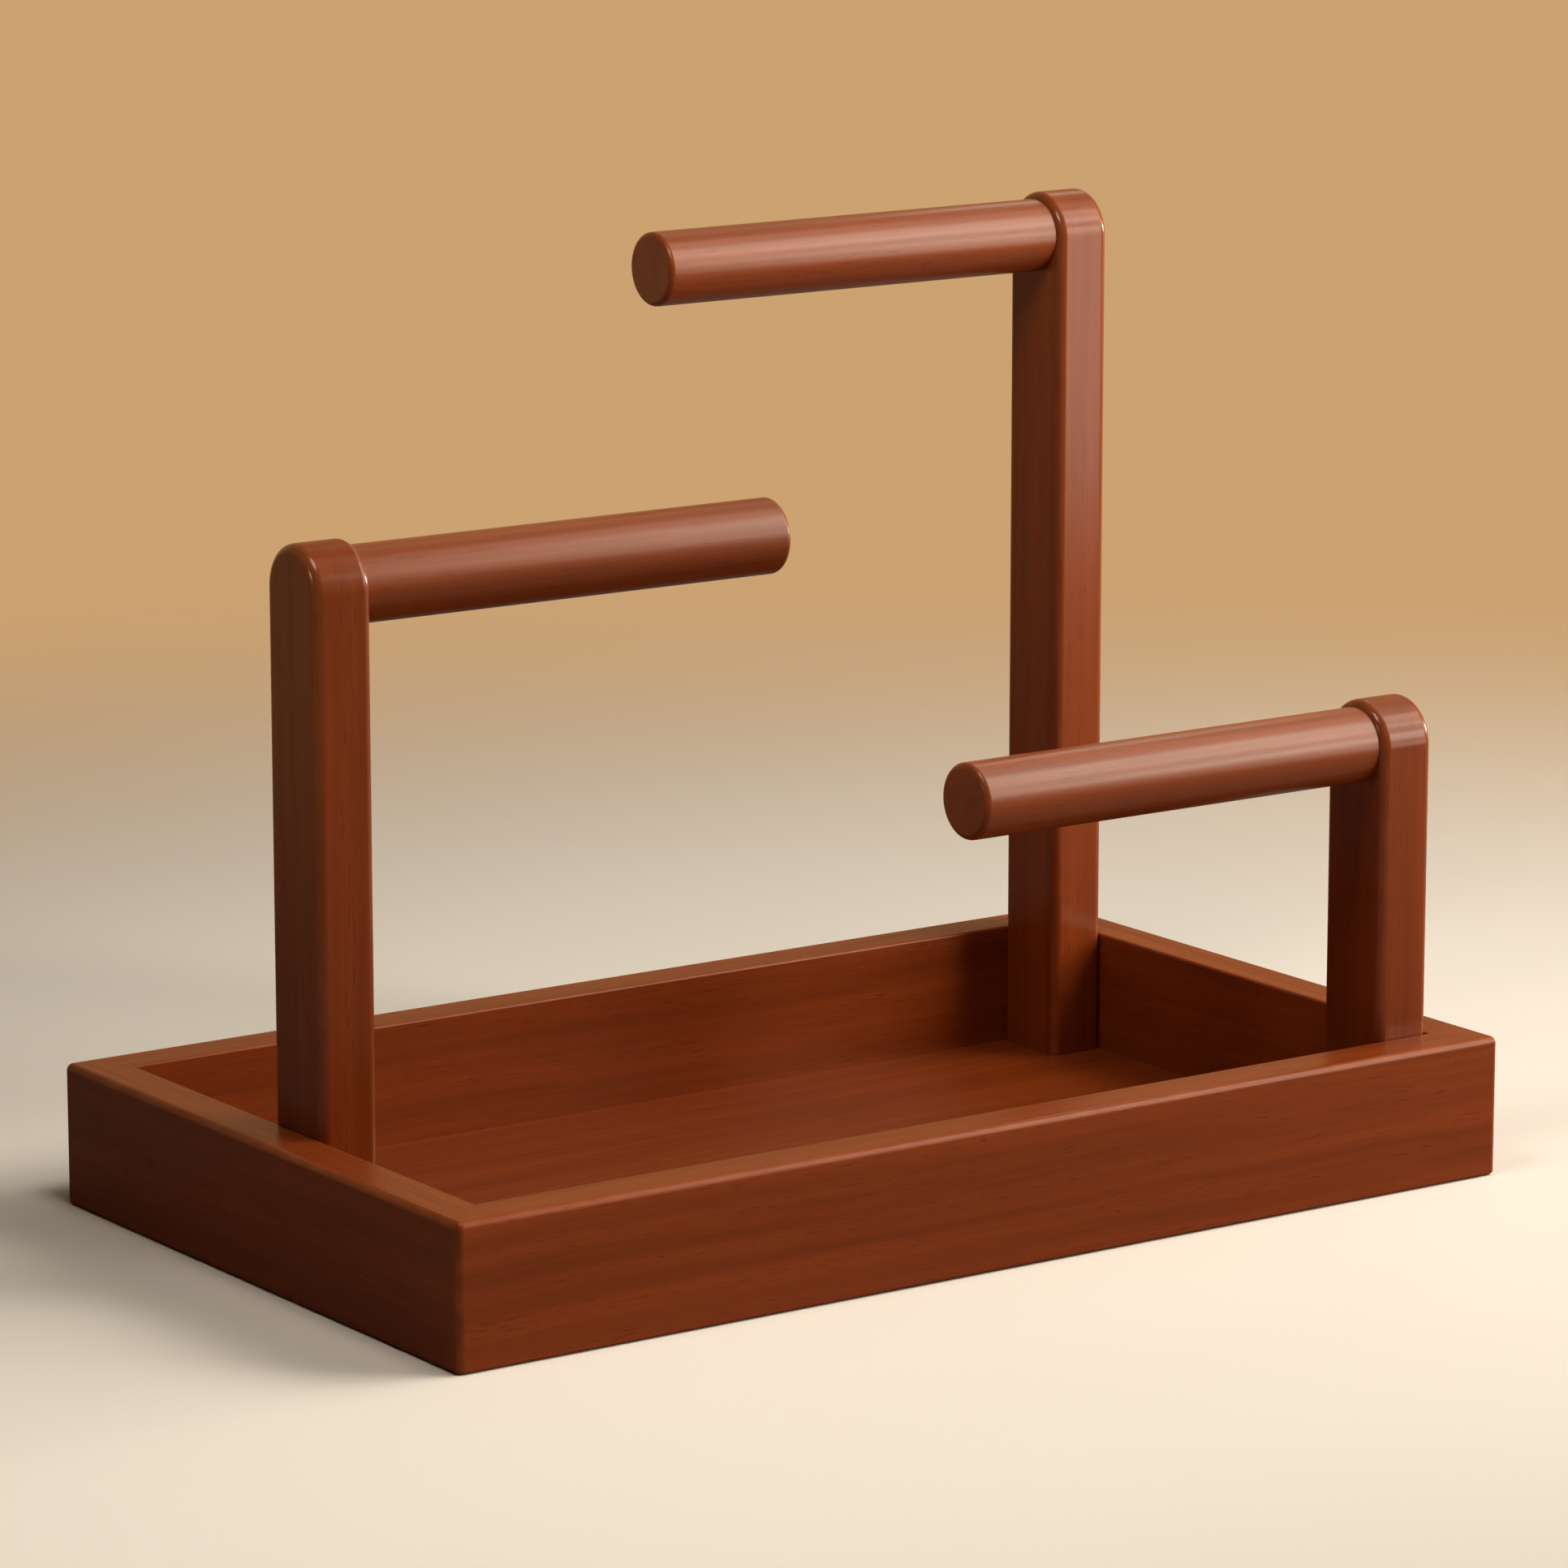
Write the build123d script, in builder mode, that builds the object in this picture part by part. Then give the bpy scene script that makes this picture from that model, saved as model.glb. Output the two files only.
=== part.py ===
"""Wooden jewelry stand: a shallow mitred tray and three posts, each carrying one level round rod.

Millimetres, +Z up. The origin is the centre of the tray's underside, +X runs along the tray's length
towards the tall and short posts, and +Y runs from the front wall to the back wall.
"""
import os
from math import radians, tan

from build123d import *

# Tray walls
tray_length = 255.0
tray_width = 150.5
wall_height = 29.5
wall_thickness = 10.5
edge_round = 1.5  # roundover of the rim's outer edge and the upright corners
rim_break = 0.6  # softened inner edge of the rim
foot_break = 0.5  # chamfer along the lower edge of the walls

# Floor panel, let into a rabbet along the foot of the walls and flush underneath
floor_thickness = 3.5
rabbet_depth = 5.0
floor_gap = 0.25  # room for the panel to swell in its rabbet

# Loose tongues hidden in the mitres
spline_width = 8.0  # across the joint
spline_thickness = 2.5
spline_length = 16.0  # up the joint
spline_gap = 0.1  # glue room all round

# Posts
post_thickness = 13.0  # along the rod
post_width = 18.5
post_round = 2.0

# Rods, each concentric with the half-round head of its post
rod_diameter = 15.6
rod_reach = 100.0  # from the post's face to the free end
rod_end_chamfer = 1.0
tall_rod_height = 184.6  # rod axis above the table
middle_rod_height = 137.2
short_rod_height = 90.7
tenon_diameter = 10.0
tenon_length = 8.0
tenon_gap = 0.05  # glue room around the tenon
tenon_end_gap = 0.5  # glue room beyond the tenon

# Countersunk wood screws, one into the foot of each post
screw_diameter = 3.5
screw_length = 28.0
screw_tip_length = 4.0
screw_head_diameter = 7.0
screw_head_angle = 90.0  # full angle of the cone under the head
screw_head_sink = 0.2  # head face above the panel's underside
screw_gap = 0.2  # room around the screw in the panel
pilot_gap = 0.05  # room around the screw in the post
pilot_end_gap = 1.0
recess_span = 4.0  # cross recess in the head
recess_width = 0.9
recess_depth = 1.3

# Sizes that follow
inner_length = tray_length - 2 * wall_thickness
inner_width = tray_width - 2 * wall_thickness
spline_base = (wall_height - spline_length) / 2
half_post = post_width / 2
corner_place = (inner_width - post_width) / 2
screw_radius = screw_diameter / 2
head_radius = screw_head_diameter / 2
head_slope = tan(radians(screw_head_angle / 2))
sink_radius = head_radius + screw_head_sink * head_slope + screw_gap

os.makedirs("parts", exist_ok=True)

# Whole tray frame, from which the four walls are cut at the mitres
with BuildPart() as frame:
    with BuildSketch():
        Rectangle(tray_length, tray_width)
    extrude(amount=wall_height)
    fillet(frame.edges().filter_by(Axis.Z) + frame.edges().group_by(Axis.Z)[-1], edge_round)
    chamfer(frame.edges().group_by(Axis.Z)[0], foot_break)
    with BuildSketch():
        Rectangle(inner_length, inner_width)
    extrude(amount=wall_height, mode=Mode.SUBTRACT)
    with BuildSketch():
        Rectangle(inner_length + 2 * rabbet_depth, inner_width + 2 * rabbet_depth)
    extrude(amount=floor_thickness, mode=Mode.SUBTRACT)
    rim = frame.faces().sort_by(Axis.Z)[-1]
    fillet(rim.inner_wires()[0].edges(), rim_break)

# Each corner as its direction from the centre, and each wall as the two corners it joins
corners = {
    "front_left": (-1, -1),
    "front_right": (1, -1),
    "back_right": (1, 1),
    "back_left": (-1, 1),
}
walls = {
    "front_wall": ("front_left", "front_right"),
    "right_wall": ("front_right", "back_right"),
    "back_wall": ("back_right", "back_left"),
    "left_wall": ("back_left", "front_left"),
}


def corner_point(corner, inset):
    """Plan position of a corner of the tray, moved in by inset along both sides."""
    side, end = corners[corner]
    return (side * (tray_length / 2 - inset), end * (tray_width / 2 - inset))


def spline_turn(corner):
    """Turn that sets a spline square across its mitre."""
    side, end = corners[corner]
    return -45.0 * side * end


for name, (start, finish) in walls.items():
    with BuildPart() as wall:
        add(frame.part)
        with BuildSketch():
            with BuildLine():
                Polyline(
                    corner_point(start, 0),
                    corner_point(finish, 0),
                    corner_point(finish, wall_thickness),
                    corner_point(start, wall_thickness),
                    close=True,
                )
            make_face()
        extrude(amount=wall_height, mode=Mode.INTERSECT)
        with BuildSketch(Plane.XY.offset(spline_base - spline_gap)):
            for corner in (start, finish):
                with Locations(corner_point(corner, wall_thickness / 2)):
                    Rectangle(
                        spline_width + 2 * spline_gap,
                        spline_thickness + 2 * spline_gap,
                        rotation=spline_turn(corner),
                    )
        extrude(amount=spline_length + 2 * spline_gap, mode=Mode.SUBTRACT)
    wall.part.label = name
    export_step(wall.part, f"parts/{name}.step")

for corner in corners:
    with BuildPart() as spline:
        with BuildSketch(Plane.XY.offset(spline_base)):
            with Locations(corner_point(corner, wall_thickness / 2)):
                Rectangle(spline_width, spline_thickness, rotation=spline_turn(corner))
        extrude(amount=spline_length)
    spline.part.label = f"{corner}_spline"
    export_step(spline.part, f"parts/{corner}_spline.step")

# Each stand: the wall its post backs on, its place along that wall and the height of its rod
stands = {
    "tall": ("right_wall", corner_place, tall_rod_height),
    "middle": ("left_wall", 0.0, middle_rod_height),
    "short": ("right_wall", -corner_place, short_rod_height),
}
screw_seats = []

for name, (backing, place, rod_height) in stands.items():
    side, _ = corners[walls[backing][0]]
    backed_x = side * inner_length / 2
    seat_x = side * (inner_length / 2 - post_thickness)
    centre_x = side * (inner_length - post_thickness) / 2
    wall_face = Plane(origin=(backed_x, place, 0), x_dir=(0, -side, 0), z_dir=(-side, 0, 0))
    rod_seat = Plane(origin=(seat_x, place, rod_height), x_dir=(0, -side, 0), z_dir=(-side, 0, 0))
    rod_end = rod_seat.offset(rod_reach)
    post_foot = Plane(origin=(centre_x, place, floor_thickness), z_dir=(0, 0, -1))
    screw_section = Plane(origin=(centre_x, place, screw_head_sink), x_dir=(1, 0, 0), z_dir=(0, -1, 0))
    screw_seats.append(Plane(origin=(centre_x, place, 0), z_dir=(0, 0, -1)))

    # Post with its half-round head, the bore for the rod's tenon and the pilot hole in its foot
    with BuildPart() as post:
        with BuildSketch(wall_face):
            with BuildLine():
                Line((-half_post, floor_thickness), (-half_post, rod_height))
                ThreePointArc((-half_post, rod_height), (0, rod_height + half_post), (half_post, rod_height))
                Line((half_post, rod_height), (half_post, floor_thickness))
                Line((half_post, floor_thickness), (-half_post, floor_thickness))
            make_face()
        extrude(amount=post_thickness)
        outline = post.faces().filter_by(Axis.X).edges()
        fillet(outline - outline.group_by(Axis.Z)[0], post_round)
        with Locations(rod_seat):
            Hole(tenon_diameter / 2 + tenon_gap, depth=tenon_length + tenon_end_gap)
        with Locations(post_foot):
            Hole(
                screw_radius + pilot_gap,
                depth=screw_length + screw_head_sink - floor_thickness + pilot_end_gap,
            )
    post.part.label = f"{name}_post"
    export_step(post.part, f"parts/{name}_post.step")

    # Rod with its eased free end and the tenon that goes into the post
    with BuildPart() as rod:
        with BuildSketch(rod_seat):
            Circle(rod_diameter / 2)
        extrude(amount=rod_reach)
        chamfer(rod.faces().sort_by_distance(rod_end.origin)[0].edges(), rod_end_chamfer)
        with BuildSketch(rod_seat):
            Circle(tenon_diameter / 2)
        extrude(amount=-tenon_length)
    rod.part.label = f"{name}_rod"
    export_step(rod.part, f"parts/{name}_rod.step")

    # Screw, drawn as half its outline and turned about its own axis
    with BuildPart() as screw:
        with BuildSketch(screw_section):
            with BuildLine():
                Polyline(
                    (0, 0),
                    (head_radius, 0),
                    (screw_radius, (head_radius - screw_radius) / head_slope),
                    (screw_radius, screw_length - screw_tip_length),
                    (0, screw_length),
                    close=True,
                )
            make_face()
        revolve(axis=Axis((centre_x, place, 0), (0, 0, 1)))
        with BuildSketch(Plane.XY.offset(screw_head_sink)):
            with Locations((centre_x, place)):
                Rectangle(recess_span, recess_width)
                Rectangle(recess_width, recess_span)
        extrude(amount=recess_depth, mode=Mode.SUBTRACT)
    screw.part.label = f"{name}_post_screw"
    export_step(screw.part, f"parts/{name}_post_screw.step")

with BuildPart() as floor_panel:
    with BuildSketch():
        Rectangle(
            inner_length + 2 * (rabbet_depth - floor_gap),
            inner_width + 2 * (rabbet_depth - floor_gap),
        )
    extrude(amount=floor_thickness)
    with Locations(*screw_seats):
        CounterSinkHole(
            screw_radius + screw_gap,
            sink_radius,
            counter_sink_angle=screw_head_angle,
        )
floor_panel.part.label = "floor_panel"
export_step(floor_panel.part, "parts/floor_panel.step")
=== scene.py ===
"""Looks of a wooden jewelry stand: an open mitred tray, three round-headed posts and three level rods.

Every mesh is in metres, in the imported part's own frame: +X along the tray towards the tall and short posts,
+Y from the front wall to the back wall, +Z up, with the origin under the middle of the tray.
"""
from math import cos, pi, radians, sin

import bmesh
import bpy
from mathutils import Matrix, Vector


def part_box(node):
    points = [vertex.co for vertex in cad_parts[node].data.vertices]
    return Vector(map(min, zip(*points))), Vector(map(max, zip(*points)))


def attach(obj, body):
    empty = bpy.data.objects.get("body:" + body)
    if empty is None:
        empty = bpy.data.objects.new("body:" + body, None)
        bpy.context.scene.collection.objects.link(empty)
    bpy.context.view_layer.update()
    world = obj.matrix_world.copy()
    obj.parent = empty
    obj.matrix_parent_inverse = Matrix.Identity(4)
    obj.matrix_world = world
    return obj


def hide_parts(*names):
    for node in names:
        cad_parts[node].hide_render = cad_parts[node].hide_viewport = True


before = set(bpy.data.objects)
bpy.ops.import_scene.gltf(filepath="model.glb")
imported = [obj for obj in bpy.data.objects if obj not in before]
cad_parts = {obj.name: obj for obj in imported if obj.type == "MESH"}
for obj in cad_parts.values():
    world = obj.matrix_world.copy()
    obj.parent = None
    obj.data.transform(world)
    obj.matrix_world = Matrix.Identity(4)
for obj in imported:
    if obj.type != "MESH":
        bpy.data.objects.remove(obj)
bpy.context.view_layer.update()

bl_info = {
    "name": "Jewelry Stand",
    "version": (1, 0, 0),
    "blender": (4, 5, 0),
    "location": "View3D > Sidebar > Jewelry Stand",
    "description": "Builds the finished pieces of a wooden jewelry stand around its packed frame",
    "category": "Add Mesh",
}

MM = 0.001
BODY = "root"
STANDS = ("tall", "middle", "short")
CORNERS = {"front_left": (-1, -1), "front_right": (1, -1), "back_right": (1, 1), "back_left": (-1, 1)}

# Each wall as the direction of its run, the direction from it to the tray's middle and the corners it joins
WALLS = {
    "front_wall": ((1, 0), (0, 1), ("front_left", "front_right")),
    "right_wall": ((0, 1), (-1, 0), ("front_right", "back_right")),
    "back_wall": ((-1, 0), (0, -1), ("back_right", "back_left")),
    "left_wall": ((0, -1), (1, 0), ("back_left", "front_left")),
}

# Directions in the part's frame
SIDEWAYS = Vector((1, 0, 0))
BACKWARDS = Vector((0, 1, 0))
UP = Vector((0, 0, 1))

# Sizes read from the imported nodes
TRAY_HIGH = Vector((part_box("right_wall")[1].x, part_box("back_wall")[1].y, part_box("front_wall")[1].z))
WALL_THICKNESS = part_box("front_wall")[1].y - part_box("front_wall")[0].y
PANEL_LOW, PANEL_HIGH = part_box("floor_panel")

# Steps of the rounded stretches
ROUND_STEPS = 8
HEAD_STEPS = 48
ROD_STEPS = 72
SCREW_STEPS = 40
THREAD_STEPS = 24
THREAD_SIDES = 3
FLOOR_STEPS = 96

# Mesh points nearer than this are one, and faces that meet at more than this angle keep a sharp edge
MESH_WELD = 1e-7
SCREW_WELD = 1e-6
SHARP_ANGLE = radians(32)

# How far a pilot hole starts outside the wood and how far it runs on past the screw
PILOT_START = 1.0 * MM
PILOT_END = 1.0 * MM

# Sizes that the screws' node tree takes
SCREW_SIZES = (
    "Head radius",
    "Shank radius",
    "Length",
    "Tip length",
    "Recess span",
    "Recess width",
    "Recess depth",
    "Thread pitch",
    "Thread height",
)

# Wear and painted highlight of the posts' and rods' edges against those of the tray's rim
POST_WEAR_AND_HIGHLIGHT = 0.5

# Grain of the wood: length along it and width across it in metres, its detail, and the lowest and highest of
# its levels
GRAIN = {
    "Bands": (0.24, 0.0085, 2.0, 0.30, 0.70),
    "Streaks": (0.10, 0.0018, 2.0, 0.30, 0.70),
    "Fibres": (0.022, 0.00045, 1.0, 0.28, 0.72),
    "Pores": (0.0042, 0.00028, 0.0, 0.67, 0.76),
}
GRAIN_ROUGHNESS = 0.55
FIGURE_SHARES = {"Bands": 0.46, "Streaks": 0.24, "Fibres": 0.14, "Rings": 0.16}

# Slow drift of the grain across the board, and the growth rings about a pith well outside it
DRIFT_SCALE = 14.0
DRIFT_REACH = 4.0 * MM
PITH = (0.0, 0.11, 0.06)
RING_SCALE = 70.0
RING_WAVER = 1.6
RING_PORES = (0.25, 0.75, 0.25, 1.0)  # levels of the rings, and the share of the pores at each

# Turns that lay the grain along X, Y or Z
GRAIN_TURNS = {"X": (0.0, 0.0, 0.0), "Y": (0.0, 0.0, -pi / 2), "Z": (0.0, pi / 2, 0.0)}

# Shifts of the figure, so that no two pieces show the same stretch of it
LENGTHWISE_SHIFT = (0.31, 0.07, 0.02)
CROSSWISE_SHIFT = (0.83, 0.21, 0.05)
PANEL_SHIFT = (1.45, 0.33, 0.04)
POST_SHIFT = (0.0, 0.37, 0.0)
POST_SHIFT_STEP = (0.52, 0.11, 0.13)
ROD_SHIFT = (0.0, 0.53, 0.0)
ROD_SHIFT_STEP = (0.61, 0.09, 0.17)

# Stain in the pores and on end grain, and a lighter colour on the rounded edges that is partly stain rubbed
# thin and partly a painted highlight. The last two each have the two levels that they start from and then the
# two shares that these become
PORE_STAIN = 0.45
END_GRAIN = (0.55, 1.0, 0.0, 0.12)
PATCH_SCALE = 160.0
RUB_AND_HIGHLIGHT = (0.35, 0.7, 0.15, 0.55)

# Surfaces: roughness at the least and at the most of a pattern, strength and height of its bumps, and the shade
# of its darker places against the lighter ones
STAINED_ROUGHNESS = (0.46, 0.38)
STAINED_BUMP = (0.5, 0.04 * MM)
FIBRE_RELIEF = 0.4
BARE_ROUGHNESS = (0.8, 0.65)
BARE_BUMP = (0.4, 0.1 * MM)
BARE_SHADE = 0.7
STEEL_ROUGHNESS = (0.28, 0.5)
STEEL_BUMP = (0.2, 0.02 * MM)
STEEL_SHADE = 0.72
STEEL_CLOUDS = 900.0
STEEL_LEVELS = (0.3, 0.7)

# Floor just under the stand, its faint mottle and its matt surface
FLOOR_DROP = 0.2 * MM
MOTTLE_SCALE = 9.0
MOTTLE_LIFT = 1.03
FLOOR_ROUGHNESS = 0.9
FLOOR_SHEEN = 0.1

# Camera, in millimetres and metres
SENSOR_WIDTH = 36.0
CLIP_START = 0.01
CLIP_END = 50.0


def length(name, description, default):
    """A size in metres that a user may change."""
    return bpy.props.FloatProperty(
        name=name,
        description=description,
        default=default,
        min=0.0,
        unit="LENGTH",
        subtype="DISTANCE",
        precision=5,
    )


def angle(name, description, degrees):
    """An angle that a user may change."""
    return bpy.props.FloatProperty(
        name=name, description=description, default=radians(degrees), subtype="ANGLE"
    )


def colour(name, description, default):
    """A colour that a user may change."""
    return bpy.props.FloatVectorProperty(
        name=name, description=description, default=default, min=0.0, max=1.0, size=3, subtype="COLOR"
    )


def share(name, description, default):
    """A value from 0 to 1 that a user may change."""
    return bpy.props.FloatProperty(
        name=name, description=description, default=default, min=0.0, max=1.0, subtype="FACTOR"
    )


class StandTray(bpy.types.PropertyGroup):
    """Edges of the tray's walls and the joints that hold them."""

    edge_round: length("Edge round", "Roundover of the rim's outer edge and the upright corners", 1.5 * MM)
    rim_break: length("Rim break", "Softened inner edge of the rim", 0.6 * MM)
    foot_break: length("Foot break", "Chamfer along the lower edge of the walls", 0.5 * MM)
    rabbet_depth: length("Rabbet depth", "Depth of the rabbet that holds the floor panel", 5.0 * MM)
    panel_break: length("Panel break", "Softened edges of the floor panel", 0.3 * MM)
    slot_width: length("Slot width", "Spline slot across the mitre", 8.2 * MM)
    slot_thickness: length("Slot thickness", "Spline slot along the mitre's normal", 2.7 * MM)
    slot_gap: length("Slot gap", "Room above and below a spline", 0.1 * MM)


class StandPosts(bpy.types.PropertyGroup):
    """Edges of the posts and the rods that they carry."""

    edge_round: length("Edge round", "Roundover of every long edge and of the head", 2.0 * MM)
    rod_end_round: length("Rod end round", "Rounded edge of each rod's free end", 1.2 * MM)
    tenon_radius: length("Tenon radius", "Radius of the turned tenon at the rod's inner end", 5.0 * MM)
    tenon_length: length("Tenon length", "Length of the tenon", 8.0 * MM)
    tenon_gap: length("Tenon gap", "Room around the tenon in its bore", 0.05 * MM)
    tenon_end_gap: length("Tenon end gap", "Room beyond the tenon in its bore", 0.5 * MM)


class StandScrews(bpy.types.PropertyGroup):
    """Countersunk wood screws that hold the posts from beneath."""

    shank_radius: length("Shank radius", "Radius of the shank between the threads", 1.55 * MM)
    hole_radius: length("Hole radius", "Clearance hole through the floor panel", 1.95 * MM)
    sink_gap: length("Sink gap", "Room around the head in its countersink", 0.4 * MM)
    tip_length: length("Tip length", "Length of the pointed tip", 4.0 * MM)
    thread_pitch: length("Thread pitch", "Rise of the thread in one turn", 1.6 * MM)
    thread_height: length("Thread height", "How far the thread stands out from the shank", 0.2 * MM)
    recess_span: length("Recess span", "Span of the cross recess", 4.0 * MM)
    recess_width: length("Recess width", "Width of each arm of the recess", 0.9 * MM)
    recess_depth: length("Recess depth", "Depth of the recess", 1.3 * MM)


class StandFinish(bpy.types.PropertyGroup):
    """Colours and sheen of the wood and the steel."""

    stain_dark: colour("Dark stain", "Stained wood where the grain is dense", (0.142, 0.0247, 0.0038))
    stain_light: colour("Light stain", "Stained wood where the grain is open", (0.241, 0.0434, 0.0074))
    pore: colour("Pore", "Stain gathered in the pores", (0.072, 0.0132, 0.0042))
    # Lighter, more orange colour of the rounded edges: partly stain rubbed thin, partly a painted highlight
    worn_and_highlit_edge: colour("Worn and highlit edge", "Wood where the stain is rubbed thin on the edges", (0.31, 0.074, 0.023))
    bare_wood: colour("Bare wood", "Unstained wood hidden in the mitres", (0.42, 0.25, 0.12))
    steel: colour("Steel", "Zinc plated steel of the screws", (0.55, 0.53, 0.48))
    sheen: share("Sheen", "Specular level of the wood under the film", 0.132)
    sheen_tint: colour("Sheen tint", "Colour of the wood's own reflection", (1.0, 0.60, 0.35))
    film: share("Film", "Weight of the clear film over the wood", 0.54)
    film_roughness: share("Film roughness", "Roughness of the clear film", 0.27)
    edge_film: share("Edge film", "Weight of the film on the posts' edges, which handling has polished", 0.7)
    post_film_roughness: share("Post film roughness", "Roughness of the clear film on the posts", 0.18)
    tray_polish: share("Tray polish", "Share of the sheen and film on the tray", 0.52)
    post_polish: share("Post polish", "Share of the sheen and film on the posts", 0.6)
    rod_polish: share("Rod polish", "Share of the sheen and film on the turned rods", 1.0)
    tall_tone: share("Tall tone", "Lightness of the tall post and its rod against the tray", 1.0)
    middle_tone: share("Middle tone", "Lightness of the middle post and its rod against the tray", 0.86)
    short_tone: share("Short tone", "Lightness of the short post and its rod against the tray", 0.98)


class StandStage(bpy.types.PropertyGroup):
    """Camera, floor and lamps."""

    azimuth: angle("Azimuth", "Camera's turn round the stand", -34.884)
    elevation: angle("Elevation", "Camera's angle above the floor", 11.814)
    distance: length("Distance", "Camera's distance from the point it looks at", 1.4015)
    target_height: length("Target height", "Height of the point that the camera looks at", 0.08537)
    target_side: bpy.props.FloatProperty(
        name="Target side",
        description="Place of that point along the tray",
        default=-0.00073,
        unit="LENGTH",
    )
    focal_length: bpy.props.FloatProperty(
        name="Focal length",
        description="Focal length in millimetres",
        default=157.66,
        subtype="DISTANCE_CAMERA",
    )
    floor: colour("Floor", "Pale floor", (0.865, 0.84, 0.80))
    backdrop: colour("Backdrop", "Background that the floor fades into", (0.60, 0.36, 0.165))
    floor_radius: length("Floor radius", "Radius of the floor", 2.5)
    fade_start: length("Fade start", "Distance at which the floor starts to fade into the background", 0.24)
    fade_end: length("Fade end", "Distance at which the floor has faded", 0.75)
    mirrored_floor: share("Mirrored floor", "Brightness of the floor in the lacquer", 0.25)
    bounced_floor: share("Bounced floor", "Brightness of the floor as a light on the stand", 0.65)
    ambient: share("Ambient", "Light from all round", 0.0375)


# Each lamp: its turn round the stand and its angle above the floor in degrees, its distance and diameter in
# metres, the angle of its grid in degrees, its power in watts
LAMPS = {
    "Key": (58.0, 40.0, 1.0, 0.44, 180.0, 3.7),
    "High": (75.0, 52.0, 1.4, 0.60, 180.0, 0.6),
    "Hood": (74.0, 50.0, 0.44, 0.34, 100.0, 0.183),
    "Front": (45.0, 27.0, 1.4, 0.58, 180.0, 5.7),
    "Side": (66.0, 17.0, 1.3, 0.40, 180.0, 4.0),
    "Band": (42.0, 13.0, 1.2, 0.26, 180.0, 2.67),
    "Near": (-48.0, 65.0, 0.35, 0.14, 180.0, 0.483),
    "Top": (125.0, 45.0, 1.0, 0.50, 180.0, 0.333),
    "Rim": (84.0, 8.0, 1.2, 0.18, 180.0, 5.2),
}

# Each spot: the point it stands at and the point it lights, its diameter in metres, the angle of its grid in
# degrees, its power in watts
SPOTS = {
    "Post spot": ((0.47, -0.434, 0.125), (0.11, 0.046, 0.168), 0.20, 34.0, 0.033),
    "Rod spot": ((0.33, 0.244, 0.377), (0.03, -0.078, 0.075), 0.12, 20.0, 0.0012),
    "Left spot": ((-0.72, 0.0, 0.32), (-0.117, 0.0, 0.115), 0.12, 16.0, 0.006),
    "Floor spot": ((-0.36, -0.17, 1.0), (-0.36, -0.17, 0.0), 0.12, 40.0, 0.15),
}
LAMP_TINT = (1.0, 0.90, 0.76)


# Mesh building

def arc(centre, radius, start, end, steps):
    """Points in a plane along an arc, both ends included."""
    points = []
    for step in range(steps + 1):
        turn = start + (end - start) * step / steps
        points.append((centre[0] + radius * cos(turn), centre[1] + radius * sin(turn)))
    return points


def loft(name, rings, wear=None):
    """Closed mesh through rings of equal count, capped at both ends, with the wear and painted highlight of
    each point.
    """
    shape = bmesh.new()
    worn_and_highlit = shape.verts.layers.float.new("wear")
    grid = []
    for row, ring in enumerate(rings):
        line = []
        for column, point in enumerate(ring):
            vertex = shape.verts.new(point)
            vertex[worn_and_highlit] = wear[row][column] if wear else 0.0
            line.append(vertex)
        grid.append(line)
    count = len(grid[0])
    for line, following in zip(grid, grid[1:]):
        for column in range(count):
            after = (column + 1) % count
            shape.faces.new((line[column], line[after], following[after], following[column]))
    shape.faces.new(reversed(grid[0]))
    shape.faces.new(grid[-1])
    bmesh.ops.remove_doubles(shape, verts=shape.verts, dist=MESH_WELD)
    bmesh.ops.recalc_face_normals(shape, faces=shape.faces)
    mesh = bpy.data.meshes.new(name)
    shape.to_mesh(mesh)
    shape.free()
    piece = bpy.data.objects.new(name, mesh)
    bpy.context.scene.collection.objects.link(piece)
    return piece


def turned(outline, place, along, across):
    """Rings of a turned mesh from an outline of (distance along the axis, radius) points."""
    third = along.cross(across)
    rings = []
    for distance, radius in outline:
        ring = []
        for step in range(ROD_STEPS):
            turn = 2 * pi * step / ROD_STEPS
            ring.append(place + along * distance + (across * cos(turn) + third * sin(turn)) * radius)
        rings.append(ring)
    return rings


def evaluated(piece):
    """Gives the piece the plain mesh that its modifiers make, and removes them."""
    graph = bpy.context.evaluated_depsgraph_get()
    made = bpy.data.meshes.new_from_object(piece.evaluated_get(graph))
    piece.modifiers.clear()
    piece.data = made
    made.name = piece.name


def cut(piece, cutters):
    """Takes the cutters out of the piece."""
    for cutter in cutters:
        boolean = piece.modifiers.new("Cut", "BOOLEAN")
        boolean.operation = "DIFFERENCE"
        boolean.solver = "EXACT"
        boolean.object = cutter
    evaluated(piece)
    for cutter in cutters:
        bpy.data.objects.remove(cutter)


def smooth(piece):
    """Shades rounded stretches smooth and leaves the flats flat."""
    mesh = piece.data
    mesh.shade_smooth()
    mesh.set_sharp_from_angle(angle=SHARP_ANGLE)
    weighted = piece.modifiers.new("Flat normals", "WEIGHTED_NORMAL")
    weighted.keep_sharp = True
    evaluated(piece)


def hand_over(piece, material, slot, *nodes):
    """Gives a finished piece its material and sets it in the place of its nodes."""
    piece.data.materials.clear()
    piece.data.materials.append(material)
    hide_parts(*nodes)
    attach(piece, BODY)


# Materials

def new_material(name):
    """Adds a material and gives it with its node tree and its shader."""
    material = bpy.data.materials.new(name)
    material.use_nodes = True
    tree = material.node_tree
    return material, tree, tree.nodes["Principled BSDF"]


def add_node(tree, kind, values=None, **options):
    """Adds a node, with its options and with its inputs set to values or linked to sockets."""
    node = tree.nodes.new(kind)
    for option, value in options.items():
        setattr(node, option, value)
    for socket, value in (values or {}).items():
        if isinstance(value, bpy.types.NodeSocket):
            tree.links.new(value, node.inputs[socket])
        else:
            node.inputs[socket].default_value = value
    return node


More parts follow.
